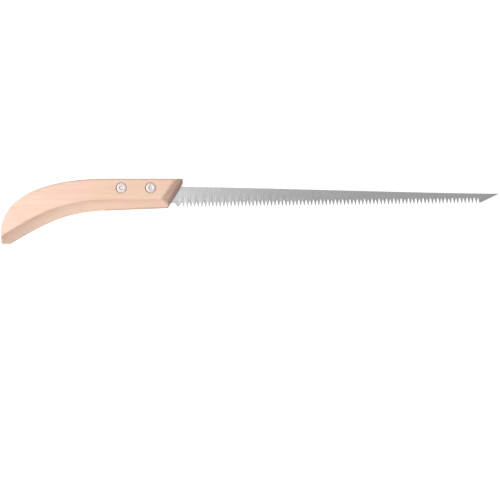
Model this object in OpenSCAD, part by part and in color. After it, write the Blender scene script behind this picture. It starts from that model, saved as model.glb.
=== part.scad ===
// Drywall saw: a pointed, coarse-toothed blade riveted into a curved wooden handle.
// The saw lies on its side. X runs toward the blade tip, Y toward the spine, Z up.
// The origin is on the lower side face of the handle, midway between the two rivets.

/* [Overall] */
// Overall length, from the butt to the tip
overall_l = 340; // [330:1:350]
// Distance from the middle of the rivets to the tip
blade_reach = 247.5; // [242:0.5:252]

/* [Handle] */
// Thickness of the handle
handle_t = 18; // [15:0.5:22]
// Height of the straight top edge above the rivet line
top_rise = 6.3; // [6:0.1:8]
// Depth of the butt below the rivet line
butt_drop = 38.6; // [34:0.1:44]
// Where the nose ends, along X
nose_x = 31.5; // [30:0.5:35]
// Height of the square part of the nose, below the top edge
nose_square = 3.3; // [0:0.1:5]
// Slant of the rest of the nose from square, in degrees
nose_slant = 31.5; // [22:0.5:35]
// Width of the bevels on the nose, seen from the side
nose_bevel = 6.5; // [4:0.1:8]
// Thickness of the blunt end of the nose
nose_t = 9.6; // [3:0.1:12]
// Width of the bevels under the grip, seen from the side
grip_bevel = 8.4; // [6:0.1:9]
// Easing of the top edges
edge_ease = 1.2; // [0.8:0.1:2]

/* [Blade] */
// Thickness of the blade
blade_t = 1.2; // [0.8:0.1:1.6]
// Number of small teeth
teeth = 81; // [65:1:95]
// Width of a tooth at its root, as a share of the pitch
root_share = 0.78; // [0.6:0.02:0.84]
// Length of the spear point
spear_l = 13.1; // [10:0.1:18]

/* [Rivets] */
// Distance between the two rivets
rivet_gap = 20; // [18:1:22]
// Diameter of the rivet shank
shank_d = 4; // [3:0.1:4]
// Outer diameter of the washers and the factory heads
washer_d = 6.8; // [6.4:0.1:8.5]
// Thickness of a washer
washer_t = 0.6; // [0.5:0.1:0.7]
// Depth of the counterbores
recess_h = 1.1; // [1.1:0.1:1.6]

/* [Hidden] */
$fn = 64;

far = 60;                       // longer than any cut needs
over = 1;                       // how far a cut runs past a face
mid_z = handle_t / 2;           // plane of the blade
butt_x = blade_reach - overall_l;
drop = top_rise + butt_drop;

// Handle outline: straight from the nose to the bend, then curved down to the butt.
bend_x = -20;
grip_l = bend_x - butt_x;
keel_y = -15.4;                 // ridge under the grip, at the bend
keel_slope = 0.04;              // its rise toward the nose
keel_land = 2;                  // flat along the ridge, across Z
nose_land = 6;                  // the same flat just ahead of the nose, where it is widest
nose_narrows = 2.5;             // how much narrower the bevels are there
butt_r = 2;                     // lower corner of the butt
run_out = 10;                   // length swept past the butt, then cut off
grip_steps = 26;
fine_steps = 60;

top_curve = [
    [bend_x, top_rise],
    [bend_x - 0.67 * grip_l, top_rise],
    [butt_x, top_rise - 0.33 * drop],
    [butt_x, top_rise - 0.85 * drop]
];
keel_end = [butt_x + 5.7, -butt_drop];
keel_angle = 32;                // slope of the ridge at the butt
keel_dir = [cos(keel_angle), sin(keel_angle)];
keel_curve = [
    [bend_x, keel_y],
    [bend_x - 24, keel_y - 24 * keel_slope],
    keel_end + 34 * keel_dir,
    keel_end
];

// Blade: the spine falls and the tooth line rises toward the tip.
tip = [blade_reach, -3.9];
spine_root = [30, 0.85];        // spine where it leaves the handle
spine_curve = [spine_root, spine_root + [60, -0.7], tip + [-60, 0.55], tip];
spine_steps = 14;
first_tooth_x = 32.1;
spear = [blade_reach - spear_l, -10.3];
spear_gap = 2.3;                // from the last small tooth to the spear's lower corner
pitch = (spear.x - spear_gap - first_tooth_x) / (teeth - 1);
tip_line = [-13.3, -10.4];      // tooth tips, at the first and the last small tooth
gullet_line = [-9.95, -6.95];   // bottoms of the gullets, at the same places
tooth_lean = 0.1;               // how far a tip is set forward of its root
tooth_flat = 0.34;              // blunt end of a tip
heel = [26.3, -10.4];
heel_tooth = [28.5, -13.4];
tang_end = -18;
tang_top = 3.5;
tang_bottom = -9.8;
tang_corner = 1.5;
shoulder_top = [20, tang_top];  // the tang steps down to the spine here
shoulder_foot = [25, 0.9];

// Slot for the tang, open along the ridge and at the nose.
slot_gap = 0.3;
slot_end = -21;
slot_corner = 3;

// Rivets: factory head in the lower counterbore, rolled end on a washer in the upper one.
hole_d = shank_d + 0.2;
recess_d = washer_d + 0.2;
recess_lip = 0.45;              // easing of a counterbore's mouth
washer_z = handle_t - recess_h;
roll_z = washer_z + washer_t;
roll_d = 6.2;                   // collar rolled over the washer
roll_h = 0.35;                  // its height above the washer
roll_rim = 0.22;                // thickness of the collar at its rim
roll_slope = 1.2;               // how far in from the rim it slopes
roll_bore = shank_d - 1.4;      // shallow hollow in the rolled end
roll_bore_h = 0.15;             // its depth below the top of the washer
head_sunk = 0.15;               // how far the head lies below the side of the handle
head_h = recess_h - head_sunk;
head_crown = 0.4;               // how much of the head's height is eased
head_ease = 1;                  // how far in from its rim

function bezier(p, t) =
    pow(1 - t, 3) * p[0] + 3 * t * pow(1 - t, 2) * p[1]
    + 3 * t * t * (1 - t) * p[2] + pow(t, 3) * p[3];

function mix(a, b, t) = a + (b - a) * t;

function arc(c, r, a0, a1, n) = [
    for (i = [0 : n])
        c + r * [cos(mix(a0, a1, i / n)), sin(mix(a0, a1, i / n))]
];

// Running length along a list of points.
function lengths(p, i = 0, sum = 0) =
    i == len(p) - 1 ? [sum] : concat([sum], lengths(p, i + 1, sum + norm(p[i + 1] - p[i])));

// A Bezier curve again as n + 1 points at equal distances.
function evenly(curve, n) =
    let (
        p = [for (i = [0 : fine_steps]) bezier(curve, i / fine_steps)],
        s = lengths(p),
        xs = [for (i = [0 : fine_steps]) [s[i], p[i].x]],
        ys = [for (i = [0 : fine_steps]) [s[i], p[i].y]],
        total = s[fine_steps]
    )
    [for (i = [0 : n]) [lookup(total * i / n, xs), lookup(total * i / n, ys)]];

// Half of the handle's section from the ridge to the top edge: [height, half width].
function half_section(height, bevel, land) =
    let (
        half = handle_t / 2,
        crease = min(bevel, height - edge_ease - 0.1)
    )
    [
        [0, land / 2],
        [0.06 * crease, land / 2 + 0.9],
        [0.9 * crease, half - 0.45],
        [crease, half],
        [height - edge_ease, half],
        [height - 0.3 * edge_ease, half - 0.3 * edge_ease],
        [height, half - edge_ease]
    ];

// One closed ring of the handle's skin, between a ridge point and a top point.
function ring(keel, top, bevel = grip_bevel, land = keel_land) =
    let (
        height = norm(top - keel),
        up = (top - keel) / height,
        half = half_section(height, bevel, land),
        last = len(half) - 1
    )
    concat(
        [for (p = half) [keel.x + up.x * p[0], keel.y + up.y * p[0], mid_z + p[1]]],
        [for (i = [last : -1 : 0])
            [keel.x + up.x * half[i][0], keel.y + up.y * half[i][0], mid_z - half[i][1]]]
    );

// Closed skin through a list of rings with the same number of points.
module skin(rings) {
    count = len(rings[0]);
    rows = len(rings);
    sides = [
        for (r = [0 : rows - 2], i = [0 : count - 1])
            let (j = (i + 1) % count, a = r * count, b = a + count)
            each [[a + i, b + i, a + j], [a + j, b + i, b + j]]
    ];
    first = [for (i = [0 : count - 1]) i];
    final = [for (i = [count - 1 : -1 : 0]) (rows - 1) * count + i];
    polyhedron([for (r = rings) each r], concat(sides, [first, final]));
}

module grip_skin() {
    tops = evenly(top_curve, grip_steps);
    keels = evenly(keel_curve, grip_steps);
    ahead = nose_x + 5;
    keel_ahead = [ahead, keel_y + (ahead - bend_x) * keel_slope];
    skin(concat(
        [ring(keel_ahead, [ahead, top_rise], grip_bevel - nose_narrows, nose_land)],
        [for (i = [0 : grip_steps]) ring(keels[i], tops[i])],
        [ring(keels[grip_steps] - run_out * keel_dir, tops[grip_steps] - run_out * keel_dir)]
    ));
}

// Everything that the butt may fill: square, with one rounded lower corner.
module butt_limit() {
    corner = arc([butt_x + butt_r, butt_r - butt_drop], butt_r, 180, 270, 8);
    translate([0, 0, -over])
        linear_extrude(handle_t + 2 * over)
            polygon(concat([[butt_x, far]], corner, [[far, -butt_drop], [far, far]]));
}

// What leaves the nose square at the top, slanted below, and bevelled on both sides.
module nose_cut() {
    half = handle_t / 2;
    land = nose_t / 2;
    slope = (half - land) / nose_bevel;
    profile = [
        [0, land],
        [-nose_bevel - over, half + over * slope],
        [far, half + over * slope],
        [far, -half - over * slope],
        [-nose_bevel - over, -half - over * slope],
        [0, -land]
    ];
    translate([nose_x, top_rise - nose_square, mid_z])
        rotate([0, 0, -nose_slant])
            translate([0, far / 2, 0])
                rotate([90, 0, 0])
                    linear_extrude(2 * far)
                        polygon(profile);
    translate([nose_x, -far / 2, -over])
        cube([far, far, handle_t + 2 * over]);
}

module slot() {
    gap = [slot_gap, slot_gap];
    slot_top = tang_top + slot_gap;
    translate([0, 0, mid_z - blade_t / 2])
        linear_extrude(blade_t)
            polygon([
                [slot_end, -far],
                [slot_end, slot_top - slot_corner],
                [slot_end + slot_corner, slot_top],
                shoulder_top + gap,
                shoulder_foot + gap,
                [far, shoulder_foot.y + slot_gap],
                [far, -far]
            ]);
}

// Cut down from z = 0, with an eased mouth.
module counterbore() {
    translate([0, 0, -recess_h])
        cylinder(h = recess_h + over, d = recess_d);
    translate([0, 0, -recess_lip])
        cylinder(h = 2 * recess_lip, d1 = recess_d, d2 = recess_d + 4 * recess_lip);
}

module rivet_hole(x) {
    translate([x, 0, -over])
        cylinder(h = handle_t + 2 * over, d = hole_d);
    translate([x, 0, handle_t])
        counterbore();
    translate([x, 0, 0])
        mirror([0, 0, 1])
            counterbore();
}

module handle() {
    color([0.96, 0.81, 0.72])
        difference() {
            intersection() {
                grip_skin();
                butt_limit();
            }
            nose_cut();
            slot();
            rivet_hole(rivet_gap / 2);
            rivet_hole(-rivet_gap / 2);
        }
}

// One tooth and the round gullet ahead of it, toward the tip.
function tooth(i) =
    let (
        t = i / (teeth - 1),
        x = first_tooth_x + i * pitch,
        root = root_share * pitch / 2,
        r = pitch / 2 - root,
        tip_y = mix(tip_line[0], tip_line[1], t),
        gullet_y = mix(gullet_line[0], gullet_line[1], t)
    )
    concat(
        [
            [x + tooth_lean - tooth_flat / 2, tip_y],
            [x + tooth_lean + tooth_flat / 2, tip_y]
        ],
        arc([x + pitch / 2, gullet_y - r], r, 180, 0, 5)
    );

function heel_gullet() =
    let (r = (1 - root_share) * pitch / 2)
    arc([first_tooth_x - pitch / 2, gullet_line[0] - r], r, 180, 0, 5);

module blade_outline() {
    r = tang_corner;
    polygon(concat(
        arc([tang_end + r, tang_bottom + r], r, 180, 270, 6),
        [heel, heel_tooth],
        heel_gullet(),
        [for (i = [0 : teeth - 1]) each tooth(i)],
        [spear],
        [for (i = [spine_steps : -1 : 0]) bezier(spine_curve, i / spine_steps)],
        [shoulder_foot, shoulder_top],
        arc([tang_end + r, tang_top - r], r, 90, 180, 6)
    ));
}

module blade() {
    color([0.72, 0.72, 0.73])
        difference() {
            translate([0, 0, mid_z - blade_t / 2])
                linear_extrude(blade_t)
                    blade_outline();
            for (x = [-rivet_gap / 2, rivet_gap / 2])
                translate([x, 0, mid_z - blade_t])
                    cylinder(h = 2 * blade_t, d = hole_d);
        }
}

// Rivet: eased factory head below, and above it the shank's end rolled over the washer.
module rivet(x) {
    color([0.80, 0.80, 0.82])
        translate([x, 0, 0])
            difference() {
                union() {
                    translate([0, 0, head_sunk + head_crown])
                        cylinder(h = head_h - head_crown, d = washer_d);
                    translate([0, 0, head_sunk])
                        cylinder(h = head_crown, d1 = washer_d - 2 * head_ease, d2 = washer_d);
                    translate([0, 0, recess_h])
                        cylinder(h = roll_z - recess_h, d = shank_d);
                    translate([0, 0, roll_z])
                        cylinder(h = roll_rim, d = roll_d);
                    translate([0, 0, roll_z + roll_rim])
                        cylinder(h = roll_h - roll_rim, d1 = roll_d, d2 = roll_d - 2 * roll_slope);
                }
                translate([0, 0, roll_z - roll_bore_h])
                    cylinder(h = roll_bore_h + roll_h + over, d = roll_bore);
            }
}

module washer(x) {
    color([0.76, 0.76, 0.78])
        translate([x, 0, washer_z])
            difference() {
                cylinder(h = washer_t, d = washer_d);
                translate([0, 0, -over])
                    cylinder(h = washer_t + 2 * over, d = hole_d);
            }
}

module rivet_front() {
    rivet(rivet_gap / 2);
}

module rivet_rear() {
    rivet(-rivet_gap / 2);
}

module washer_front() {
    washer(rivet_gap / 2);
}

module washer_rear() {
    washer(-rivet_gap / 2);
}

handle();
blade();
rivet_front();
rivet_rear();
washer_front();
washer_rear();
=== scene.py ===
import math

import bmesh
import bpy
import numpy as np
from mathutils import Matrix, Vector


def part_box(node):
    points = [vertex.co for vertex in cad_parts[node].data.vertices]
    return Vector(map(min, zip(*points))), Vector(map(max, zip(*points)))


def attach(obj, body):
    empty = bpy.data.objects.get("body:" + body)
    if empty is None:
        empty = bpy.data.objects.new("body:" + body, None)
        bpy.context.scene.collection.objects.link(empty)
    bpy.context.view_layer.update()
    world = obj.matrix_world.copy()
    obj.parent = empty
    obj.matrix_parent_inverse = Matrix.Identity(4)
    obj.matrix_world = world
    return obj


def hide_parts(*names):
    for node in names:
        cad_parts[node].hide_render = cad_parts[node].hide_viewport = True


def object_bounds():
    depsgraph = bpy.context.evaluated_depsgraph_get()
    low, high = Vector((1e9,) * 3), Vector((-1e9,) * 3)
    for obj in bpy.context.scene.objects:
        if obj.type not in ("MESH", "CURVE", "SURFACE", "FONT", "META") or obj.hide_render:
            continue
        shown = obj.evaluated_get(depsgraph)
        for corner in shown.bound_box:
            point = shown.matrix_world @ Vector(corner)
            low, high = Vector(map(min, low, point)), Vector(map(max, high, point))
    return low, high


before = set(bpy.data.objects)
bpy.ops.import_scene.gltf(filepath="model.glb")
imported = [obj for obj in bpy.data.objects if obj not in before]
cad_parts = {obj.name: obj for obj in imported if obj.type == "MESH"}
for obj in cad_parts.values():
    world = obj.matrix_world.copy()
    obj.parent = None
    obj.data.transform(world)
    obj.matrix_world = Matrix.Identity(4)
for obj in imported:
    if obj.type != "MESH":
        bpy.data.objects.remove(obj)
cad_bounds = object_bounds()

# A drywall saw lying on its side. Shapes are worked out in millimetres, in the CAD's frame:
# X toward the tip, Y toward the spine, Z up from the lower side face of the handle.
MM = 0.001


def box_mm(node):
    """Lowest and highest corner of a CAD node, in millimetres."""
    low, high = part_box(node)
    return np.array(low) / MM, np.array(high) / MM


HANDLE_LOW, HANDLE_HIGH = box_mm("handle")
BLADE_LOW, BLADE_HIGH = box_mm("blade")
BUTT_X, BASE_Y = HANDLE_LOW[0], HANDLE_LOW[1]
NOSE_X, TOP_Y = HANDLE_HIGH[0], HANDLE_HIGH[1]
MID_Z = (HANDLE_LOW[2] + HANDLE_HIGH[2]) / 2
HALF = (HANDLE_HIGH[2] - HANDLE_LOW[2]) / 2
BLADE_HALF = (BLADE_HIGH[2] - BLADE_LOW[2]) / 2

# Handle outline
BEND_X = -20.0
KEEL_Y = -15.4
KEEL_RISE = 0.04
KEEL_ANGLE = math.radians(32)
KEEL_DIR = np.array([math.cos(KEEL_ANGLE), math.sin(KEEL_ANGLE)])
NOSE_SQUARE = 3.3
NOSE_SLANT = math.radians(31.5)
NOSE_LEAN = math.tan(NOSE_SLANT)
NOSE_CORNER_R = 0.7
NOSE_CORNER_SOFT = 0.15
NOSE_BEND_L = 12.0
BUTT_R = 2.0
DROP = TOP_Y - BASE_Y
GRIP_L = BEND_X - BUTT_X
BUTT_FOOT = 5.7
KEEL_END = np.array([BUTT_X + BUTT_FOOT, BASE_Y])
TOP_END_Y = TOP_Y - 0.85 * DROP
# Lengths of the Bezier handles of the two long curves
TOP_FRONT_PULL = 0.67 * GRIP_L
TOP_REAR_PULL = 0.33 * DROP
KEEL_FRONT_PULL = 24
KEEL_REAR_PULL = 34

# Handle section
BEVEL_START = 1.45
BEVEL_SLOPE = 0.86
BEVEL_HOLLOW = 0.0117
BEVEL_LIFT = 2.4
NOSE_LAND = 4.8
NOSE_BEVEL = 6.4
NOSE_BEVEL_TAPER = 0.078
NOSE_ROUND = 2.8
# Heights on the nose, and the share of NOSE_ROUND at each
NOSE_ROUND_SHARE = ((-12, -8, 3.3, 5), (0.4, 1, 1, 0.6))
CREASE_SOFT = 0.55
FACE_SOFT = 0.4
NOSE_SOFT = 0.3
NOSE_TOP_SOFT = 0.95
NOSE_FADE = 8
KEEL_EASE = 0.5
RIM_R = 1.2
RIM_CROWN = 0.3
THINNEST = 0.3

# Handle mesh: stations along the handle, rows from keel to rim, levels up the wall of the rim
NOSE_STATIONS = 76
GRIP_STATIONS = 92
BUTT_STATIONS = 16
ROWS = 62
ROW_CROWDING = 0.86
LEVELS = 7

# Marks on the handle
RIM_MARK_W = 1.3
KERF_MARK_W = 0.7
CREASE_FROM = 2.2
CREASE_L = 5.5

# Blade outline
SPINE_ROOT = np.array([30.0, 0.85])
TIP = np.array([BLADE_HIGH[0], -3.9])
SPEAR = np.array([TIP[0] - 13.1, -10.3])
TEETH = 81
FIRST_TOOTH_X = 32.1
LAST_TOOTH_X = SPEAR[0] - 2.3
PITCH = (LAST_TOOTH_X - FIRST_TOOTH_X) / (TEETH - 1)
TIP_LINE = (-13.3, -10.4)
GULLET_LINE = (-9.95, -6.95)
GROUND_LINE = (-8.75, -6.60)
TOOTH_ROOT = 0.78 * PITCH / 2
GULLET_R = PITCH / 2 - TOOTH_ROOT
TOOTH_LEAN = 0.1
TOOTH_FLAT = 0.34
TOOTH_SET = 0.10
TOOTH_GRIND = 0.24
TOOTH_TIP_GRIND = 0.04
SPEAR_GRIND = 1.6
SPEAR_CORNER_EDGE = 0.6
SPEAR_EDGE = 0.25
TIP_BLUNT = 0.12
SPINE_CHAMFER = 0.12
SPINE_PULL = 60
HEEL = np.array([26.3, -10.4])
HEEL_TOOTH = np.array([28.5, -13.4])
TANG_END = BLADE_LOW[0]
TANG_TOP = BLADE_HIGH[1]
TANG_BOTTOM = -9.8
TANG_CORNER = 1.5
SHOULDER_TOP = np.array([20.0, TANG_TOP])
SHOULDER_FOOT = np.array([25.0, 0.9])

# Slot and rivet holes
SLOT_END = -21.0
SLOT_TOP = TANG_TOP + 0.3
SLOT_HALF = BLADE_HALF + 0.04
SLOT_CORNER = 3
SLOT_MOUTH = 0.95
NOSE_MOUTH_TOP = 1.4
HOLE_R = 2.1
RECESS_R = 3.5
RECESS_H = 1.1
RECESS_LIP = 0.45

# Rivets and washers
SHANK_R = 2.0
BORE_R = 1.3
BORE_DROP = 0.15
HEAD_DOME = 0.55
HEAD_EASE = 0.12
ROLL_R = 3.1
ROLL_H = 0.35
ROLL_RIM = 0.22
PEAK_R = 1.7
ROLL_WAVES = (0.03, 0.02, 0.025, 0.015)
WASHER_EASE = 0.07

# Studio, in metres and watts
FLOOR_REACH = 6.0
FLOOR_GREY = (0.35, 0.35, 0.35, 1)
FLOOR_GLOW = 0.86
BACKDROP_LIGHT = 0.35
KEY_LIGHT = dict(place=(-0.78, -0.17, 0.68), aim=(-0.03, 0.0, 0.0), size=(0.5, 0.5), power=8.0)
OVERHEAD_LIGHT = dict(place=(-0.64, -0.02, 1.2), aim=(-0.64, -0.02, 0.0), size=(1.15, 1.3), power=7.0)
CAMERA_HEIGHT = 2.0
CAMERA_BELOW = 3.8 * MM
CAMERA_MARGIN = 1.0056
SENSOR = 36.0


# ---------------------------------------------------------------- small helpers

def bezier(p, t):
    """Points at t on the cubic Bezier curve with the four points p."""
    t = np.asarray(t)[:, None]
    early = (1 - t) ** 3 * p[0] + 3 * t * (1 - t) ** 2 * p[1]
    return early + 3 * t * t * (1 - t) * p[2] + t ** 3 * p[3]


def arc(centre, radius, start, end, count):
    """Points on an arc between two angles in degrees."""
    a = np.radians(np.linspace(start, end, count))
    return np.stack([centre[0] + radius * np.cos(a), centre[1] + radius * np.sin(a)], 1)


def evenly(path, count):
    """A polyline again as count points at equal distances."""
    path = np.asarray(path, float)
    step = np.linalg.norm(np.diff(path, axis=0), axis=1)
    run = np.concatenate([[0], np.cumsum(step)])
    at = np.linspace(0, run[-1], count)
    return np.stack([np.interp(at, run, path[:, 0]), np.interp(at, run, path[:, 1])], 1)


def distance(points, path):
    """Distance of each point to a polyline."""
    best = np.full(len(points), 1e9)
    for a, b in zip(path[:-1], path[1:]):
        along = b - a
        size = along @ along
        if size < 1e-12:
            continue
        t = np.clip((points - a) @ along / size, 0, 1)
        gap = points - a - t[:, None] * along
        best = np.minimum(best, np.hypot(gap[:, 0], gap[:, 1]))
    return best


def soft_min(a, b, width):
    """The lower of two heights, with the crease between them rounded."""
    near = np.maximum(width - np.abs(a - b), 0)
    return np.minimum(a, b) - near ** 2 / (4 * width)


def mesh_object(name, verts_mm, faces):
    """A mesh object in the scene, from points in millimetres."""
    mesh = bpy.data.meshes.new(name)
    mesh.from_pydata([tuple(v) for v in np.asarray(verts_mm) * MM], [], faces)
    mesh.validate()
    obj = bpy.data.objects.new(name, mesh)
    bpy.context.scene.collection.objects.link(obj)
    return obj


def clean(obj, merge_mm=0.002):
    """Merges doubled points, drops empty faces and turns all faces outward."""
    bm = bmesh.new()
    bm.from_mesh(obj.data)
    bmesh.ops.remove_doubles(bm, verts=bm.verts, dist=merge_mm * MM)
    bmesh.ops.dissolve_degenerate(bm, edges=bm.edges, dist=merge_mm * MM * 0.1)
    bmesh.ops.recalc_face_normals(bm, faces=bm.faces)
    bm.to_mesh(obj.data)
    bm.free()


def shade(obj, angle):
    """Smooth shading, with edges sharper than the angle kept crisp."""
    obj.data.shade_smooth()
    obj.data.set_sharp_from_angle(angle=math.radians(angle))


def carve(obj, cutters):
    """Cuts each closed shape in turn out of a piece."""
    for cutter in cutters:
        mod = obj.modifiers.new("carve", "BOOLEAN")
        mod.operation = "DIFFERENCE"
        mod.solver = "EXACT"
        mod.object = cutter
        bpy.context.view_layer.update()
        graph = bpy.context.evaluated_depsgraph_get()
        mesh = bpy.data.meshes.new_from_object(obj.evaluated_get(graph))
        obj.modifiers.clear()
        obj.data = mesh
        clean(obj, 0.001)
        bpy.data.objects.remove(cutter)


def lathe(name, profile, centre, segments=96, ripple=None):
    """Turns a closed or axis-to-axis profile of (radius, z) about a vertical axis."""
    profile = np.asarray(profile, float)
    closed = profile[0][0] > 1e-6
    rings = len(profile)
    verts, faces = [], []
    for r, z in profile:
        for s in range(segments):
            a = 2 * math.pi * s / segments
            grown = r + (ripple(a, r, z) if ripple else 0.0)
            verts.append((centre[0] + grown * math.cos(a), centre[1] + grown * math.sin(a), z))
    for i in range(rings if closed else rings - 1):
        j = (i + 1) % rings
        for s in range(segments):
            e = (s + 1) % segments
            faces.append((i * segments + s, i * segments + e, j * segments + e, j * segments + s))
    obj = mesh_object(name, verts, faces)
    clean(obj)
    return obj


def prism(name, outline, low, high):
    """A vertical prism over a polygon."""
    count = len(outline)
    verts = [(x, y, low) for x, y in outline] + [(x, y, high) for x, y in outline]
    faces = [(i, (i + 1) % count, (i + 1) % count + count, i + count) for i in range(count)]
    faces += [tuple(range(count - 1, -1, -1)), tuple(range(count, 2 * count))]
    obj = mesh_object(name, verts, faces)
    clean(obj)
    return obj


# ---------------------------------------------------------------- handle

def keel_line_y(x):
    """Height of the straight ridge in front of the bend."""
    return KEEL_Y + (x - BEND_X) * KEEL_RISE


def nose_line_x(y):
    """The slanted end of the nose, carried on above its square part."""
    return NOSE_X + (y - TOP_Y + NOSE_SQUARE) * NOSE_LEAN


def nose_distance(xy):
    """How far a point is behind the slanted end of the nose."""
    return (nose_line_x(xy[:, 1]) - xy[:, 0]) * math.cos(NOSE_SLANT)


def nose_keel_point():
    """Where the slanted end of the nose meets the ridge."""
    x = nose_line_x(keel_line_y(0)) / (1 - KEEL_RISE * NOSE_LEAN)
    return np.array([x, keel_line_y(x)])


def top_curve(count):
    """The top edge, from the bend back to the butt."""
    p = [
        np.array([BEND_X, TOP_Y]),
        np.array([BEND_X - TOP_FRONT_PULL, TOP_Y]),
        np.array([BUTT_X, TOP_Y - TOP_REAR_PULL]),
        np.array([BUTT_X, TOP_END_Y]),
    ]
    return evenly(bezier(p, np.linspace(0, 1, 400)), count)


def keel_curve(count):
    """The ridge under the grip, from the bend back to the butt."""
    p = [
        np.array([BEND_X, KEEL_Y]),
        np.array([BEND_X - KEEL_FRONT_PULL, KEEL_Y - KEEL_FRONT_PULL * KEEL_RISE]),
        KEEL_END + KEEL_REAR_PULL * KEEL_DIR,
        KEEL_END,
    ]
    return evenly(bezier(p, np.linspace(0, 1, 400)), count)


def butt_corner():
    """The rounded lower corner of the butt: its rear half and its lower half."""
    centre = np.array([BUTT_X + BUTT_R, BASE_Y + BUTT_R])
    down = np.vstack([[BUTT_X, TOP_END_Y], arc(centre, BUTT_R, 180, 225, 9)])
    along = np.vstack([KEEL_END, arc(centre, BUTT_R, 270, 225, 9)])
    return down, along


def handle_stations():
    """Pairs of points on the keel and on the rim, from the nose to the lower corner of the butt."""
    # The stations stand closest together at the nose, where the shape changes fastest.
    t = np.linspace(0, 1, NOSE_STATIONS)
    t = 0.25 * t + 0.75 * t ** 2
    nose_keel = nose_keel_point()
    nose_top = np.array([nose_line_x(TOP_Y), TOP_Y])
    keel = nose_keel + t[:, None] * (np.array([BEND_X, KEEL_Y]) - nose_keel)
    rim = nose_top + t[:, None] * (np.array([BEND_X, TOP_Y]) - nose_top)
    down, along = butt_corner()
    keel = np.vstack([keel, keel_curve(GRIP_STATIONS)[1:], evenly(along, BUTT_STATIONS)[1:]])
    rim = np.vstack([rim, top_curve(GRIP_STATIONS)[1:], evenly(down, BUTT_STATIONS)[1:]])
    return keel, rim


def handle_height(xy):
    """Half of the handle's thickness over any point of its outline."""
    # Both lines run on past the handle, so that no height is measured from their ends.
    past = NOSE_X + 10
    ahead = np.array([past, keel_line_y(past)])
    keel = np.vstack([ahead, nose_keel_point(), keel_curve(120), KEEL_END - 14 * KEEL_DIR])
    down, along = butt_corner()
    rim = np.vstack([[past, TOP_Y], top_curve(120), down[1:], along[::-1][1:]])
    d_keel, d_rim, d_nose = distance(xy, keel), distance(xy, rim), nose_distance(xy)
    d_end = np.minimum(d_nose, NOSE_X - xy[:, 0])
    # The ridge widens toward the nose, so the bevel is narrower there.
    lift = BEVEL_LIFT * np.clip((xy[:, 0] - BEND_X) / (NOSE_X + 5 - BEND_X), 0, 1)
    bevel = BEVEL_START + lift + BEVEL_SLOPE * d_keel + BEVEL_HOLLOW * d_keel ** 2
    nose_width = NOSE_BEVEL - NOSE_BEVEL_TAPER * xy[:, 1]
    nose = NOSE_LAND + (HALF - NOSE_LAND) * d_nose / nose_width
    nose += np.maximum(d_nose - nose_width - 2, 0)
    h = soft_min(bevel, nose, CREASE_SOFT)
    near_nose = np.clip(1.5 - d_nose / NOSE_FADE, 0, 1)
    high = np.clip(xy[:, 1] / TOP_Y, 0, 1)
    face_soft = FACE_SOFT + near_nose * (NOSE_SOFT + NOSE_TOP_SOFT * high)
    h = soft_min(h, np.full_like(h, HALF), face_soft)
    # The blunt end is rounded most where the nose slants.
    nose_round = NOSE_ROUND * np.interp(xy[:, 1], *NOSE_ROUND_SHARE)
    eased = (
        (d_rim, np.minimum(RIM_R, 0.45 * h)),
        (d_keel, np.full_like(h, KEEL_EASE)),
        (d_end, np.minimum(nose_round, 0.5 * h)),
    )
    for gap, radius in eased:
        inside = np.clip(gap, 0, radius)
        h = h - (radius - np.sqrt(np.maximum(radius ** 2 - (radius - inside) ** 2, 0)))
    return np.maximum(h, THINNEST)


def squared_off(points):
    """Points with the stations bent back to the square part of the nose, less and less behind it."""
    line = nose_line_x(points[..., 1])
    end = soft_min(line, np.full_like(line, NOSE_X), NOSE_CORNER_SOFT)
    share = np.clip(1 - (line - points[..., 0]) / NOSE_BEND_L, 0, 1)
    return points - np.stack([(line - end) * share, np.zeros_like(line)], axis=-1)


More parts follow.
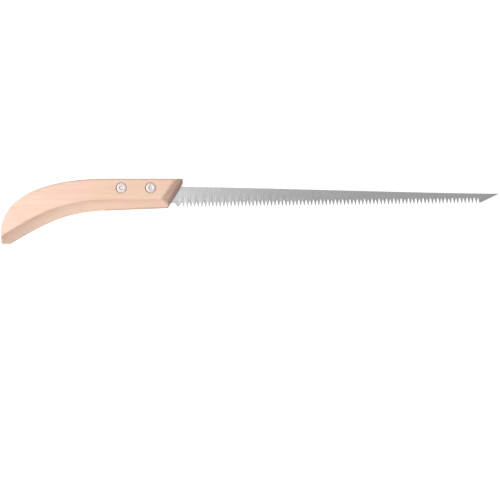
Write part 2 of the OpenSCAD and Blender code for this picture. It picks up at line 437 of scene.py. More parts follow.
def handle_shell():
    """The whole skin of the handle: two crowned sheets joined by a wall round the outline."""
    keel, rim = handle_stations()
    up = rim - keel
    length = np.linalg.norm(up, axis=1, keepdims=True)
    up_dir = up / np.maximum(length, 1e-6)
    up_dir[-1] = up_dir[-2]
    rim_inset = np.minimum(RIM_CROWN, length * 0.2)
    # The rows crowd toward the keel and the rim, where the surface turns down.
    t = np.linspace(0, 1, ROWS)
    g = t - ROW_CROWDING * np.sin(2 * math.pi * t) / (2 * math.pi)
    span = rim - up_dir * rim_inset - keel
    grid = squared_off(keel[:, None, :] + g[None, :, None] * span[:, None, :])
    count = len(keel)
    flat = grid.reshape(-1, 2)
    # Heights are read as if the rim wasn't inset, so the easing still ends at the rim.
    true = squared_off(keel[:, None, :] + g[None, :, None] * up[:, None, :])
    h = handle_height(true.reshape(-1, 2))
    upper = np.column_stack([flat, MID_Z + h])
    lower = np.column_stack([flat, MID_Z - h])
    verts = [upper, lower]
    faces = []

    def at(i, j, side=0):
        return side * count * ROWS + i * ROWS + j

    for i in range(count - 1):
        for j in range(ROWS - 1):
            faces.append((at(i, j), at(i + 1, j), at(i + 1, j + 1), at(i, j + 1)))
            faces.append((at(i, j, 1), at(i, j + 1, 1), at(i + 1, j + 1, 1), at(i + 1, j, 1)))
        if i < count - 2:
            faces.append((at(i, 0), at(i, 0, 1), at(i + 1, 0, 1), at(i + 1, 0)))
    for j in range(ROWS - 1):
        faces.append((at(0, j), at(0, j + 1), at(0, j + 1, 1), at(0, j, 1)))

    # The wall along the rim is slightly crowned across the thickness.
    rim_h = h.reshape(count, ROWS)[:, -1]
    rim_xy = grid[:, -1, :]
    start = 2 * count * ROWS
    wall = []
    for k in range(1, LEVELS):
        f = 1 - 2 * k / LEVELS
        bulge = rim_inset * (1 - f * f)
        xy = rim_xy + up_dir * bulge
        wall.append(np.column_stack([xy, MID_Z + f * rim_h]))
    verts += wall

    def level(i, k):
        if k == 0:
            return at(i, ROWS - 1)
        if k == LEVELS:
            return at(i, ROWS - 1, 1)
        return start + (k - 1) * count + i

    for i in range(count - 1):
        for k in range(LEVELS):
            faces.append((level(i, k), level(i + 1, k), level(i + 1, k + 1), level(i, k + 1)))
    faces.append(tuple(level(0, k) for k in range(LEVELS + 1)))
    # The keel meets the wall at the butt's corner, so its last face shares the wall's levels.
    corner = [level(count - 1, k) for k in range(LEVELS, -1, -1)]
    faces.append((at(count - 2, 0), at(count - 2, 0, 1), *corner))
    return np.vstack(verts), faces


def handle_cutters():
    """The nose's top corner, the slot, and the easing of its mouth at the nose and the ridge."""
    far = 60.0
    gap = 0.3
    outline = [
        (SLOT_END, -far),
        (SLOT_END, SLOT_TOP - SLOT_CORNER),
        (SLOT_END + SLOT_CORNER, SLOT_TOP),
        (SHOULDER_TOP[0] + gap, SLOT_TOP),
        (SHOULDER_FOOT[0] + gap, SHOULDER_FOOT[1] + gap),
        (far, SHOULDER_FOOT[1] + gap),
        (far, -far),
    ]
    slot = prism("cut_slot", outline, MID_Z - SLOT_HALF, MID_Z + SLOT_HALF)
    past = 8.0
    ends = (NOSE_MOUTH_TOP, keel_line_y(0) - past)
    mouth_top, below = (np.array([nose_line_x(y), y]) for y in ends)
    nose_mouth = diamond("cut_nose_mouth", mouth_top, below)
    rear = np.array([SLOT_END + 1.0, keel_line_y(SLOT_END + 1.0)])
    ahead = np.array([NOSE_X + past, keel_line_y(NOSE_X + past)])
    keel_mouth = diamond("cut_keel_mouth", rear, ahead)
    # The skin ends at NOSE_X already, so this cutter stays clear of it and rounds the corner only.
    clear = 0.02
    r, end = NOSE_CORNER_R, NOSE_X + clear
    corner = arc([end - r, TOP_Y - r], r, 0, 90, 10)
    outline = np.vstack([[end, 0], corner, [end - r, far], [far, far], [far, 0]])
    top_corner = prism("cut_top_corner", outline, -far, far)
    return [top_corner, slot, nose_mouth, keel_mouth]


def diamond(name, start, end):
    """A bar of diamond section along a line in the mid-plane."""
    along = (end - start) / np.linalg.norm(end - start)
    side = np.array([-along[1], along[0]])
    verts = []
    for p in (start, end):
        for s, z in ((SLOT_MOUTH, 0), (0, SLOT_MOUTH), (-SLOT_MOUTH, 0), (0, -SLOT_MOUTH)):
            verts.append((p[0] + side[0] * s, p[1] + side[1] * s, MID_Z + z))
    faces = [(i, (i + 1) % 4, (i + 1) % 4 + 4, i + 4) for i in range(4)]
    faces += [(3, 2, 1, 0), (4, 5, 6, 7)]
    obj = mesh_object(name, verts, faces)
    clean(obj)
    return obj


def rivet_centres():
    """The middle of each rivet's CAD node, by the name of its end."""
    centres = {}
    for end in ("front", "rear"):
        low, high = box_mm("rivet_" + end)
        centres[end] = (low + high) / 2
    return centres


def hole_cutter(name, centre):
    """A rivet hole with its recess at each end. The mouth of a recess is a cone, eased on top."""
    high = HANDLE_HIGH[2]
    above = high + 2
    mouth_r = RECESS_R + RECESS_LIP
    hole = [(HOLE_R, MID_Z), (HOLE_R, high - RECESS_H)]
    recess = [(RECESS_R, high - RECESS_H), (RECESS_R, high - RECESS_LIP)]
    mouth = [(mouth_r - 0.06, high - 0.07), (mouth_r, high - 0.02), (mouth_r + 0.08, high + 0.01)]
    upper = hole + recess + mouth + [(mouth_r + 0.1, above), (0, above)]
    lower = [(r, 2 * MID_Z - z) for r, z in upper[:0:-1]]
    return lathe(name, lower + upper, centre)


def store(obj, name, values):
    """Keeps one number a point on the mesh, for the material to read."""
    attribute = obj.data.attributes.new(name, "FLOAT", "POINT")
    attribute.data.foreach_set("value", np.asarray(values, np.float32))


def points_mm(obj):
    """All points of a mesh, in millimetres."""
    co = np.empty(len(obj.data.vertices) * 3)
    obj.data.vertices.foreach_get("co", co)
    return co.reshape(-1, 3) / MM


def build_handle():
    """The handle with its slot and holes, and the marks that its material reads."""
    verts, faces = handle_shell()
    obj = mesh_object("handle_body", verts, faces)
    clean(obj, 0.004)
    cutters = handle_cutters()
    for end, centre in rivet_centres().items():
        cutters.append(hole_cutter("cut_hole_" + end, centre))
    carve(obj, cutters)
    clean(obj, 0.001)

    # Painted shade along the eased rim and the butt, and in the slot and recesses.
    co = points_mm(obj)
    xy = co[:, :2]
    down, along = butt_corner()
    rim = np.vstack([[NOSE_X, TOP_Y], top_curve(60), down[1:]])
    height = np.abs(co[:, 2] - MID_Z)
    rim_mark = np.exp(-(distance(xy, rim) / RIM_MARK_W) ** 2)
    painted_shade = np.zeros(len(co))
    for centre in rivet_centres().values():
        r = np.hypot(xy[:, 0] - centre[0], xy[:, 1] - centre[1])
        in_hole = (r < RECESS_R + 0.05) & (height < HALF - RECESS_H + 0.1)
        painted_shade = np.maximum(painted_shade, 0.5 * in_hole)
    in_slot = (height < SLOT_HALF + 0.35) & (xy[:, 0] > SLOT_END - 0.1)
    painted_shade = np.maximum(painted_shade, in_slot & (xy[:, 1] < SLOT_TOP + 0.1))
    # Painted shade along the mouth of the saw cut on the ridge.
    kerf = np.exp(-((xy[:, 1] - keel_line_y(xy[:, 0])) / KERF_MARK_W) ** 2)
    kerf = kerf * (xy[:, 0] > SLOT_END)
    painted_shade = np.maximum(painted_shade, 0.8 * kerf)
    # Painted shade on the bevel, growing from the ridge toward its crease.
    keel = np.vstack([[NOSE_X + 10, keel_line_y(NOSE_X + 10)], keel_curve(60)])
    d_keel = distance(xy, keel)
    on_bevel = np.clip((HALF - 0.12 - height) / 0.25, 0, 1) * (nose_distance(xy) > NOSE_BEVEL)
    store(obj, "crease", np.clip((d_keel - CREASE_FROM) / CREASE_L, 0, 1) * on_bevel)
    store(obj, "rim_mark", rim_mark)
    store(obj, "painted_shade", painted_shade)
    shade(obj, 32)
    return obj


# ---------------------------------------------------------------- blade

def spine_y(x):
    """Height of the blade's back edge and of the top of its tang."""
    after_root = SPINE_ROOT + np.array([SPINE_PULL, -0.7])
    before_tip = TIP + np.array([-SPINE_PULL, 0.55])
    p = [SPINE_ROOT, after_root, before_tip, TIP]
    line = bezier(p, np.linspace(0, 1, 200))
    corner = 1 - np.clip((np.asarray(x, float) - TANG_END) / TANG_CORNER, 0, 1)
    body = np.interp(
        x,
        np.concatenate([[TANG_END, SHOULDER_TOP[0], SHOULDER_FOOT[0]], line[:, 0]]),
        np.concatenate([[TANG_TOP, TANG_TOP, SHOULDER_FOOT[1]], line[:, 1]]),
    )
    return body - TANG_CORNER * (1 - np.sqrt(1 - corner ** 2))


def along_teeth(line, x):
    """Height at x of a straight line given at the first and the last small tooth."""
    t = np.clip((x - FIRST_TOOTH_X) / ((TEETH - 1) * PITCH), 0, 1)
    return line[0] + t * (line[1] - line[0])


def blade_columns():
    """Points along the lower edge, from the tang to the tip, one dict a point.

    near and far are the point on the upper and on the lower face. They differ where a gullet
    is ground: the gullets are ground from the two faces in turn. bend is the set, across the
    blade, and edge is the share of the thickness that is left."""
    cols = []

    def add(x, y, ground=None, on_near=False, bend=0.0, edge=1.0):
        plain = (x, y)
        wide = plain if ground is None else ground
        near, far = (wide, plain) if on_near else (plain, wide)
        cols.append(dict(x=x, y=y, near=near, far=far, bend=bend, edge=edge))

    def add_flank_point(k, side, f):
        """A point on the left or right side of a tooth: f is 0 at its root and 1 at its tip."""
        x = FIRST_TOOTH_X + k * PITCH
        root_y = along_teeth(GULLET_LINE, x) - GULLET_R
        y = root_y + f * (along_teeth(TIP_LINE, x) - root_y)
        half = TOOTH_ROOT + f * (TOOTH_FLAT / 2 - TOOTH_ROOT)
        px = x + TOOTH_LEAN * f + side * half
        cut = TOOTH_GRIND * (1 - f) + TOOTH_TIP_GRIND * f
        gullet = k if side > 0 else k - 1
        bend = (TOOTH_SET if k % 2 else -TOOTH_SET) * f
        add(px, y, (px - side * cut, y), gullet % 2 == 1, bend)

    for x, y in arc([TANG_END + TANG_CORNER, TANG_BOTTOM + TANG_CORNER], TANG_CORNER, 180, 270, 7):
        add(x, y)
    for x in np.linspace(TANG_END + 3, HEEL[0] - 0.8, 24):
        add(x, np.interp(x, [TANG_END, HEEL[0]], [TANG_BOTTOM, HEEL[1]]))
    add(*HEEL)
    for f in (0.35, 0.7):
        add(*(HEEL + f * (HEEL_TOOTH - HEEL)), bend=-f * TOOTH_SET)
    add(*(HEEL_TOOTH + [-0.1, 0]), bend=-TOOTH_SET)
    add(*(HEEL_TOOTH + [0.1, 0]), bend=-TOOTH_SET)

    for k in range(-1, TEETH):
        if k >= 0:
            for side, f in ((-1, 1), (1, 1), (1, 0.65), (1, 0.3)):
                add_flank_point(k, side, f)
        x = FIRST_TOOTH_X + (k + 0.5) * PITCH
        root_y = along_teeth(GULLET_LINE, x) - GULLET_R
        ground_h = along_teeth(GROUND_LINE, x) - root_y
        for a in np.radians(np.linspace(180, 0, 11)):
            ground = (x + (GULLET_R + TOOTH_GRIND) * math.cos(a), root_y + ground_h * math.sin(a))
            add(x + GULLET_R * math.cos(a), root_y + GULLET_R * math.sin(a), ground, k % 2 == 1)
        if k < TEETH - 1:
            for f in (0.3, 0.65):
                add_flank_point(k + 1, -1, f)
    start = np.array([cols[-1]["x"], cols[-1]["y"]])
    last_on_near = (TEETH - 1) % 2 == 1
    for f in np.linspace(0.3, 1, 4):
        px, py = start + f * (SPEAR - start)
        ground = (px + TOOTH_GRIND * (1 - f), py)
        add(px, py, ground, last_on_near, edge=1.0 if f < 1 else SPEAR_CORNER_EDGE)
    for f in np.linspace(0.06, 1, 18):
        add(*(SPEAR + f * (TIP + [0, -TIP_BLUNT] - SPEAR)), edge=SPEAR_EDGE)
    return cols


def build_blade():
    """Two faces of five rows each, from the toothed edge to the spine, closed all round."""
    cols = blade_columns()
    count = len(cols)
    x = np.array([c["x"] for c in cols])
    low = np.array([c["y"] for c in cols])
    edge = np.array([c["edge"] for c in cols])
    bend = np.array([c["bend"] for c in cols])
    top = spine_y(x)
    # The second row runs just above the ground gullets, along the top of the spear's ground
    # edge, and close to the lower edge of the tang.
    root = along_teeth(GROUND_LINE, x) + 0.4
    past = x > SPEAR[0] - 1.2
    ground = low + np.minimum(SPEAR_GRIND, 0.6 * (top - low))
    root = np.where(past, np.minimum(np.maximum(root, low + 0.2), ground), root)
    root = np.where(x >= SPEAR[0], ground, root)
    root = np.where(x < HEEL[0], low + 0.8, root)
    chamfer = np.minimum(SPINE_CHAMFER, 0.2 * (top - low))
    middle = (root + top) / 2
    rows = 5
    verts = []

    def thickness(y):
        """Share of the blade's thickness at y: the spear's ground edge runs out at the tip."""
        return np.minimum(1, edge + (1 - edge) * np.maximum(y - low, 0) / SPEAR_GRIND)

    for side, key in ((1, "near"), (-1, "far")):
        edge_xy = np.array([c[key] for c in cols])
        z_face = side * BLADE_HALF
        # The second row stands straight over the ground edge, so that no face folds over.
        lines = [
            (edge_xy[:, 0], edge_xy[:, 1], z_face * edge + bend),
            (edge_xy[:, 0], root, z_face * thickness(root)),
            (x, middle, z_face * thickness(middle)),
            (x, top - chamfer, z_face * thickness(top - chamfer)),
            (x, top, z_face * thickness(top) * (1 - SPINE_CHAMFER / BLADE_HALF)),
        ]
        for lx, ly, lz in lines:
            verts.append(np.column_stack([lx, ly, MID_Z + lz]))

    def at(i, row, side):
        return (side * rows + row) * count + i

    last = rows - 1
    faces = []
    for i in range(count - 1):
        for row in range(last):
            faces.append((at(i, row, 0), at(i + 1, row, 0), at(i + 1, row + 1, 0), at(i, row + 1, 0)))
            faces.append((at(i, row, 1), at(i, row + 1, 1), at(i + 1, row + 1, 1), at(i + 1, row, 1)))
        faces.append((at(i, 0, 1), at(i + 1, 0, 1), at(i + 1, 0, 0), at(i, 0, 0)))
        faces.append((at(i, last, 0), at(i + 1, last, 0), at(i + 1, last, 1), at(i, last, 1)))
    for i in (0, count - 1):
        for row in range(last):
            faces.append((at(i, row, 0), at(i, row + 1, 0), at(i, row + 1, 1), at(i, row, 1)))
    obj = mesh_object("blade_body", np.vstack(verts), faces)
    clean(obj, 0.003)
    below, above = MID_Z - 3, MID_Z + 3
    profile = [(0, below), (HOLE_R, below), (HOLE_R, above), (0, above)]
    cutters = []
    for end, centre in rivet_centres().items():
        cutters.append(lathe("cut_tang_" + end, profile, centre, segments=64))
    carve(obj, cutters)
    clean(obj, 0.001)

    # The teeth are hardened: a faint heat tint from the gullets down.
    co = points_mm(obj)
    tint = np.clip((along_teeth(GROUND_LINE, co[:, 0]) + 0.3 - co[:, 1]) / 0.5, 0, 1)
    store(obj, "tint", tint * (co[:, 0] > HEEL[0]) * (co[:, 0] < SPEAR[0]))
    shade(obj, 22)
    return obj


# ---------------------------------------------------------------- rivets and washers

def build_rivet(name, node, seed):
    """A turned rivet: domed head below, shank, and a rolled collar round a shallow bore above."""
    low, high = box_mm(node)
    centre = (low + high) / 2
    head_r = (high[0] - low[0]) / 2
    seat = HANDLE_LOW[2] + RECESS_H
    roll_z = high[2] - ROLL_H
    rim_z = roll_z + ROLL_RIM
    bore_z = roll_z - BORE_DROP
    head = [
        (head_r * math.sin(a), low[2] + HEAD_DOME * (1 - math.cos(a)))
        for a in np.linspace(0, math.pi / 2, 10)
    ]
    head += [(head_r, seat - HEAD_EASE), (head_r - HEAD_EASE, seat)]
    shank = [(SHANK_R, seat), (SHANK_R, roll_z - 0.05)]
    rim = [(ROLL_R - 0.02, roll_z), (ROLL_R, roll_z + 0.03), (ROLL_R - 0.02, rim_z - 0.02)]
    # The collar is a flat dome down to its rim, and turns into the bore in a quarter of an ellipse.
    peak = high[2] - 0.01
    dome = [
        (r, peak - (peak - rim_z) * ((r - PEAK_R) / (ROLL_R - PEAK_R)) ** 2)
        for r in np.linspace(ROLL_R - 0.06, PEAK_R, 9)
    ]
    lip = [
        (PEAK_R - (PEAK_R - BORE_R) * math.sin(a), high[2] - 0.31 + 0.3 * math.cos(a))
        for a in np.linspace(0.15, math.pi / 2, 8)
    ]
    bore = [(BORE_R - 0.05, bore_z + 0.1), (BORE_R - 0.2, bore_z + 0.02)]
    bore += [(BORE_R - 0.6, bore_z + 0.04), (0.4, bore_z + 0.12), (0, bore_z + 0.15)]
    phases = np.random.default_rng(seed).uniform(0, 2 * math.pi, len(ROLL_WAVES))

    def ripple(a, r, z):
        """The rolled collar is never quite round."""
        if z < roll_z - 0.01 or r < BORE_R + 0.02:
            return 0.0
        return sum(s * math.sin((k + 2) * a + p) for k, (s, p) in enumerate(zip(ROLL_WAVES, phases)))

    obj = lathe(name, head + shank + rim + dome + lip + bore, centre, ripple=ripple)
    shade(obj, 38)
    return obj


def build_washer(name, node):
    """A punched washer, rounded most along its upper outer edge."""
    low, high = box_mm(node)
    centre = (low + high) / 2
    outer = (high[0] - low[0]) / 2
    ease = WASHER_EASE
    profile = [
        (HOLE_R, low[2] + ease),
        (HOLE_R + ease, low[2]),
        (outer - ease, low[2]),
        (outer - 0.3 * ease, low[2] + 0.3 * ease),
        (outer, low[2] + ease),
        (outer, high[2] - 2.2 * ease),
        (outer - 0.5 * ease, high[2] - 1.0 * ease),
        (outer - 1.6 * ease, high[2] - 0.25 * ease),
        (outer - 3 * ease, high[2]),
        (HOLE_R + ease, high[2]),
        (HOLE_R, high[2] - ease),
    ]
    obj = lathe(name, profile, centre)
    shade(obj, 40)
    return obj


# ---------------------------------------------------------------- materials

class Nodes:
    """Short calls for building one material."""

    def __init__(self, name):
        self.material = bpy.data.materials.new(name)
        self.material.use_nodes = True
        self.tree = self.material.node_tree
        self.shader = self.tree.nodes["Principled BSDF"]
        self.place = self.tree.nodes.new("ShaderNodeTexCoord").outputs["Object"]

    def link(self, source, target):
        self.tree.links.new(source, target)

    def put(self, value, target):
        if isinstance(value, bpy.types.NodeSocket):
            self.link(value, target)
        else:
            target.default_value = value

    def scaled(self, x, y, z, turn=(0, 0, 0)):
        """Object coordinates in millimetres, divided by a size in each direction."""
        node = self.tree.nodes.new("ShaderNodeMapping")
        self.link(self.place, node.inputs["Vector"])
        node.inputs["Rotation"].default_value = turn
        node.inputs["Scale"].default_value = (1 / (x * MM), 1 / (y * MM), 1 / (z * MM))
        return node.outputs["Vector"]

    def noise(self, vector, detail=3.0, rough=0.55, warp=0.0):
        node = self.tree.nodes.new("ShaderNodeTexNoise")
        self.link(vector, node.inputs["Vector"])
        node.inputs["Scale"].default_value = 1.0
        node.inputs["Detail"].default_value = detail
        node.inputs["Roughness"].default_value = rough
        node.inputs["Distortion"].default_value = warp
        return node.outputs["Fac"]

    def ramp(self, value, low, high, out_low=0.0, out_high=1.0):
        node = self.tree.nodes.new("ShaderNodeMapRange")
        node.clamp = True
        self.put(value, node.inputs["Value"])
        node.inputs["From Min"].default_value = low
        node.inputs["From Max"].default_value = high
        node.inputs["To Min"].default_value = out_low
        node.inputs["To Max"].default_value = out_high
        return node.outputs["Result"]

    def math(self, operation, a, b=0.5):
        node = self.tree.nodes.new("ShaderNodeMath")
        node.operation = operation
        self.put(a, node.inputs[0])
        self.put(b, node.inputs[1])
        return node.outputs["Value"]

    def blend(self, amount, a, b):
        node = self.tree.nodes.new("ShaderNodeMix")
        node.data_type = "RGBA"
        self.put(amount, node.inputs[0])
        for value, socket in ((a, node.inputs[6]), (b, node.inputs[7])):
            self.put(value if isinstance(value, bpy.types.NodeSocket) else (*value, 1.0), socket)
        return node.outputs[2]

    def along(self, axis):
        """One object coordinate, in millimetres."""
        split = self.tree.nodes.new("ShaderNodeSeparateXYZ")
        self.link(self.place, split.inputs[0])
        return self.math("DIVIDE", split.outputs[axis], MM)

    def attribute(self, name):
        node = self.tree.nodes.new("ShaderNodeAttribute")
        node.attribute_name = name
        return node.outputs["Fac"]

    def normal_axis(self, axis):
        geometry = self.tree.nodes.new("ShaderNodeNewGeometry")
        split = self.tree.nodes.new("ShaderNodeSeparateXYZ")
        self.link(geometry.outputs["Normal"], split.inputs[0])
        return split.outputs[axis]

    def bump(self, height, strength, distance_mm):
        node = self.tree.nodes.new("ShaderNodeBump")
        node.inputs["Strength"].default_value = strength
        node.inputs["Distance"].default_value = distance_mm * MM
        self.link(height, node.inputs["Height"])
        self.link(node.outputs["Normal"], self.shader.inputs["Normal"])

    def set(self, **values):
        for name, value in values.items():
            self.put(value, self.shader.inputs[name.replace("_", " ")])


def beech():
    """Pale pinkish beech, sanded and barely sealed, with its grain along X."""
    n = Nodes("beech_wood")
    tilt = (0, 0, math.radians(-4))
    broad = n.noise(n.scaled(70, 7, 9, tilt), 3.0, 0.5, 0.3)
    blotch = n.noise(n.scaled(16, 4.2, 5, tilt), 3.0, 0.55, 0.4)
    bands = n.noise(n.scaled(46, 2.2, 3.2, tilt), 4.0, 0.6, 0.25)
    lines = n.noise(n.scaled(22, 0.42, 0.5, tilt), 3.0, 0.65)
    flecks = n.noise(n.scaled(2.6, 0.26, 0.34), 2.0, 0.5)
    pores = n.noise(n.scaled(1.1, 0.11, 0.13), 2.0, 0.6)
    light, rose, butt_light = (0.885, 0.640, 0.520), (0.850, 0.560, 0.445), (0.925, 0.675, 0.55)
    honey, coral, straw = (0.835, 0.610, 0.435), (0.870, 0.555, 0.430), (0.815, 0.610, 0.415)
    tan, dark_line = (0.760, 0.520, 0.365), (0.66, 0.40, 0.28)
    fleck_brown, pore_brown = (0.52, 0.31, 0.21), (0.55, 0.34, 0.24)
    end_brown, crease_shade_brown = (0.44, 0.275, 0.215), (0.62, 0.375, 0.25)
    rim_shade_grey, deep_shade = (0.46, 0.36, 0.30), (0.16, 0.095, 0.06)
    colour = n.blend(n.ramp(broad, 0.38, 0.62), light, rose)
    colour = n.blend(n.ramp(blotch, 0.42, 0.68, 0.0, 0.60), colour, honey)
    # Painted light: the wood is made paler toward the butt, where more light falls.
    colour = n.blend(n.ramp(n.along(0), -75, -15, 0.45, 0.0), colour, butt_light)
    # Rosier along the top edge in front, and a tan streak lower down, both wandering a little.
    height = n.math("ADD", n.along(1), n.math("MULTIPLY", n.math("SUBTRACT", broad, 0.5), 16))
    rosy = n.math("MULTIPLY", n.ramp(height, -1.5, 3.0), n.ramp(n.along(0), -55, -30, 0.0, 0.5))
    colour = n.blend(rosy, colour, coral)
    low = n.math("MULTIPLY", n.ramp(height, -8.5, -6.0), n.ramp(height, -4.5, -2.0, 0.75, 0.0))
    streak = n.math("MULTIPLY", low, n.ramp(n.along(0), -40, -24))
    streak = n.math("MULTIPLY", streak, n.ramp(blotch, 0.40, 0.62, 0.15, 0.85))
    colour = n.blend(streak, colour, straw)
    colour = n.blend(n.ramp(bands, 0.48, 0.70, 0.0, 0.60), colour, tan)
    colour = n.blend(n.ramp(lines, 0.50, 0.72, 0.0, 0.26), colour, dark_line)
    colour = n.blend(n.ramp(flecks, 0.63, 0.74, 0.0, 0.38), colour, fleck_brown)
    colour = n.blend(n.ramp(pores, 0.62, 0.76, 0.0, 0.30), colour, pore_brown)
    # End grain drinks more finish and looks darker.
    end_grain = n.ramp(n.math("ABSOLUTE", n.normal_axis(0)), 0.28, 0.60, 0.0, 0.68)
    colour = n.blend(end_grain, colour, end_brown)
    # Painted shade on the bevel toward its crease, patchy.
    crease = n.math("POWER", n.attribute("crease"), 1.4)
    crease = n.math("MULTIPLY", crease, n.ramp(blotch, 0.3, 0.7, 0.3, 0.7))
    colour = n.blend(crease, colour, crease_shade_brown)
    # Painted shade along the eased rim and round the butt, patchy.
    rim_shade = n.math("MULTIPLY", n.attribute("rim_mark"), n.ramp(broad, 0.3, 0.7, 0.05, 0.26))
    colour = n.blend(rim_shade, colour, rim_shade_grey)
    # Painted shade in the rivet recesses and the slot, and along the saw cut on the ridge.
    colour = n.blend(n.math("MULTIPLY", n.attribute("painted_shade"), 0.62), colour, deep_shade)
    rough = n.ramp(n.math("ADD", bands, flecks), 0.7, 1.4, 0.50, 0.66)
    relief = n.math("ADD", n.math("MULTIPLY", lines, 0.7), n.math("MULTIPLY", pores, 0.5))
    n.bump(relief, 0.32, 0.08)
    n.set(Base_Color=colour, Roughness=rough, Specular_IOR_Level=0.38)
    return n.material


def blade_steel():
    """Satin strip steel, ground across the blade, with bright facets in the gullets."""
    n = Nodes("satin_blade_steel")
    streaks = n.noise(n.scaled(0.34, 14, 3), 3.0, 0.6)
    fine = n.noise(n.scaled(0.12, 7, 2), 2.0, 0.6)
    cloud = n.noise(n.scaled(17, 6, 6), 3.0, 0.55)
    stain = n.noise(n.scaled(5.5, 2.4, 3), 4.0, 0.62)
    dull, plain, brushed = (0.745, 0.735, 0.74), (0.80, 0.79, 0.795), (0.86, 0.85, 0.855)
    stained, hardened = (0.55, 0.53, 0.52), (0.56, 0.53, 0.54)
    wear_and_sheen, fresh_cut = (0.90, 0.89, 0.895), (0.86, 0.86, 0.865)
    colour = n.blend(n.ramp(cloud, 0.3, 0.7), dull, plain)
    colour = n.blend(n.ramp(streaks, 0.4, 0.7, 0.0, 0.16), colour, brushed)
    colour = n.blend(n.ramp(stain, 0.60, 0.78, 0.0, 0.12), colour, stained)
    colour = n.blend(n.math("MULTIPLY", n.attribute("tint"), 0.45), colour, hardened)
    # Painted reflection: the blade is made lighter toward the tip.
    colour = n.blend(n.ramp(n.along(0), 150, 235, 0.0, 0.6), colour, wear_and_sheen)
    facet = n.ramp(n.math("ABSOLUTE", n.normal_axis(2)), 0.97, 0.85)
    colour = n.blend(facet, colour, fresh_cut)
    brushing = n.ramp(streaks, 0.3, 0.7, 0.25, 0.28)
    rough = n.math("ADD", brushing, n.ramp(fine, 0.3, 0.7, -0.01, 0.015))
    relief = n.math("ADD", n.math("MULTIPLY", streaks, 0.7), n.math("MULTIPLY", fine, 0.4))
    n.bump(relief, 0.05, 0.03)
    n.set(Base_Color=colour, Roughness=rough, Metallic=1.0)
    return n.material


def rivet_steel(name, base, wear_and_sheen, rough_low, rough_high):
    """Plated steel with small dents and dull patches."""
    n = Nodes(name)
    cloud = n.noise(n.scaled(1.6, 1.6, 1.6), 4.0, 0.6)
    scratch = n.noise(n.scaled(2.2, 0.16, 1.0, (0, 0, 0.6)), 2.0, 0.6)
    colour = n.blend(n.ramp(cloud, 0.42, 0.68, 0.0, 0.8), base, wear_and_sheen)
    rough = n.ramp(n.math("ADD", cloud, scratch), 0.8, 1.3, rough_low, rough_high)
    n.bump(n.math("ADD", cloud, n.math("MULTIPLY", scratch, 0.5)), 0.10, 0.05)
    n.set(Base_Color=colour, Roughness=rough, Metallic=0.8)
    return n.material


def floor_material():
    """Grey with a glow of its own, so that the floor comes out near white."""
    material = bpy.data.materials.new("studio_floor")
    material.use_nodes = True
    shader = material.node_tree.nodes["Principled BSDF"]
    shader.inputs["Base Color"].default_value = FLOOR_GREY
    shader.inputs["Roughness"].default_value = 0.9
    shader.inputs["Specular IOR Level"].default_value = 0.1
    shader.inputs["Emission Color"].default_value = (1, 1, 1, 1)
    shader.inputs["Emission Strength"].default_value = FLOOR_GLOW
    return material


# ---------------------------------------------------------------- scene

def add_piece(obj, node, material):
    """Hands a finished piece to the frame in place of its CAD node."""
    obj.data.materials.clear()
    obj.data.materials.append(material)
    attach(obj, "root")
    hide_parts(node)


def area_light(name, place, aim, size, power):
    """A rectangular softbox that faces a point."""
    data = bpy.data.lights.new(name, "AREA")
    data.shape = "RECTANGLE"
    data.size, data.size_y = size
    data.energy = power
    obj = bpy.data.objects.new(name, data)
    bpy.context.scene.collection.objects.link(obj)
    obj.location = place
    direction = np.array(aim) - np.array(place)
    obj.rotation_euler = Vector(direction).to_track_quat("-Z", "Y").to_euler()
    return obj


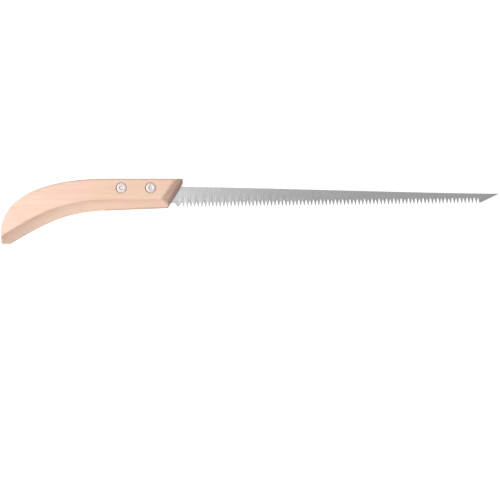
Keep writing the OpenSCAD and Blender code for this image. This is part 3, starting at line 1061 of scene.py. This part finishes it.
def build_stage(low, high):
    """A plain floor under the saw, a white backdrop and two softboxes."""
    x, y = (low[0] + high[0]) / 2, (low[1] + high[1]) / 2
    corners = ((-1, -1), (1, -1), (1, 1), (-1, 1))
    verts = [(x + sx * FLOOR_REACH, y + sy * FLOOR_REACH, low[2]) for sx, sy in corners]
    mesh = bpy.data.meshes.new("floor")
    mesh.from_pydata(verts, [], [(0, 1, 2, 3)])
    floor = bpy.data.objects.new("floor", mesh)
    bpy.context.scene.collection.objects.link(floor)
    mesh.materials.append(floor_material())

    world = bpy.data.worlds.new("studio")
    bpy.context.scene.world = world
    world.use_nodes = True
    tree = world.node_tree
    background = tree.nodes["Background"]
    background.inputs["Color"].default_value = (1, 1, 1, 1)
    # The backdrop is white to the camera, and lights the saw more softly than that.
    path = tree.nodes.new("ShaderNodeLightPath")
    level = tree.nodes.new("ShaderNodeMapRange")
    tree.links.new(path.outputs["Is Camera Ray"], level.inputs["Value"])
    level.inputs["To Min"].default_value = BACKDROP_LIGHT
    level.inputs["To Max"].default_value = 1.0
    tree.links.new(level.outputs["Result"], background.inputs["Strength"])

    area_light("key", **KEY_LIGHT)
    # The blade's light end reflects the edge of this softbox, which stays out of the picture.
    overhead = area_light("overhead", **OVERHEAD_LIGHT)
    overhead.visible_camera = False


def build_camera(low, high):
    """Looks straight down, with the saw in the upper half of the picture."""
    data = bpy.data.cameras.new("camera")
    data.sensor_width = SENSOR
    data.lens = data.sensor_width * CAMERA_HEIGHT / ((high[0] - low[0]) * CAMERA_MARGIN)
    data.clip_start, data.clip_end = 0.05, 50
    camera = bpy.data.objects.new("camera", data)
    bpy.context.scene.collection.objects.link(camera)
    x, y = (low[0] + high[0]) / 2, low[1] - CAMERA_BELOW
    camera.location = (x, y, MID_Z * MM + CAMERA_HEIGHT)
    bpy.context.scene.camera = camera


def build_saw():
    """All six pieces, each in place of its CAD node."""
    # The warm pink in both steel colours is a painted reflection of the wood round them.
    steel = rivet_steel("plated_rivet_steel", (0.80, 0.73, 0.72), (0.73, 0.66, 0.65), 0.62, 0.74)
    dull = rivet_steel("plated_washer_steel", (0.80, 0.73, 0.72), (0.73, 0.67, 0.66), 0.60, 0.72)
    add_piece(build_handle(), "handle", beech())
    add_piece(build_blade(), "blade", blade_steel())
    for seed, end in enumerate(("front", "rear")):
        rivet = build_rivet("rivet_" + end + "_turned", "rivet_" + end, seed)
        add_piece(rivet, "rivet_" + end, steel)
        washer = build_washer("washer_" + end + "_turned", "washer_" + end)
        add_piece(washer, "washer_" + end, dull)


low, high = (np.array(corner) for corner in cad_bounds)
build_camera(low, high)
build_stage(low, high)
build_saw()
bpy.context.scene.view_settings.view_transform = "Standard"
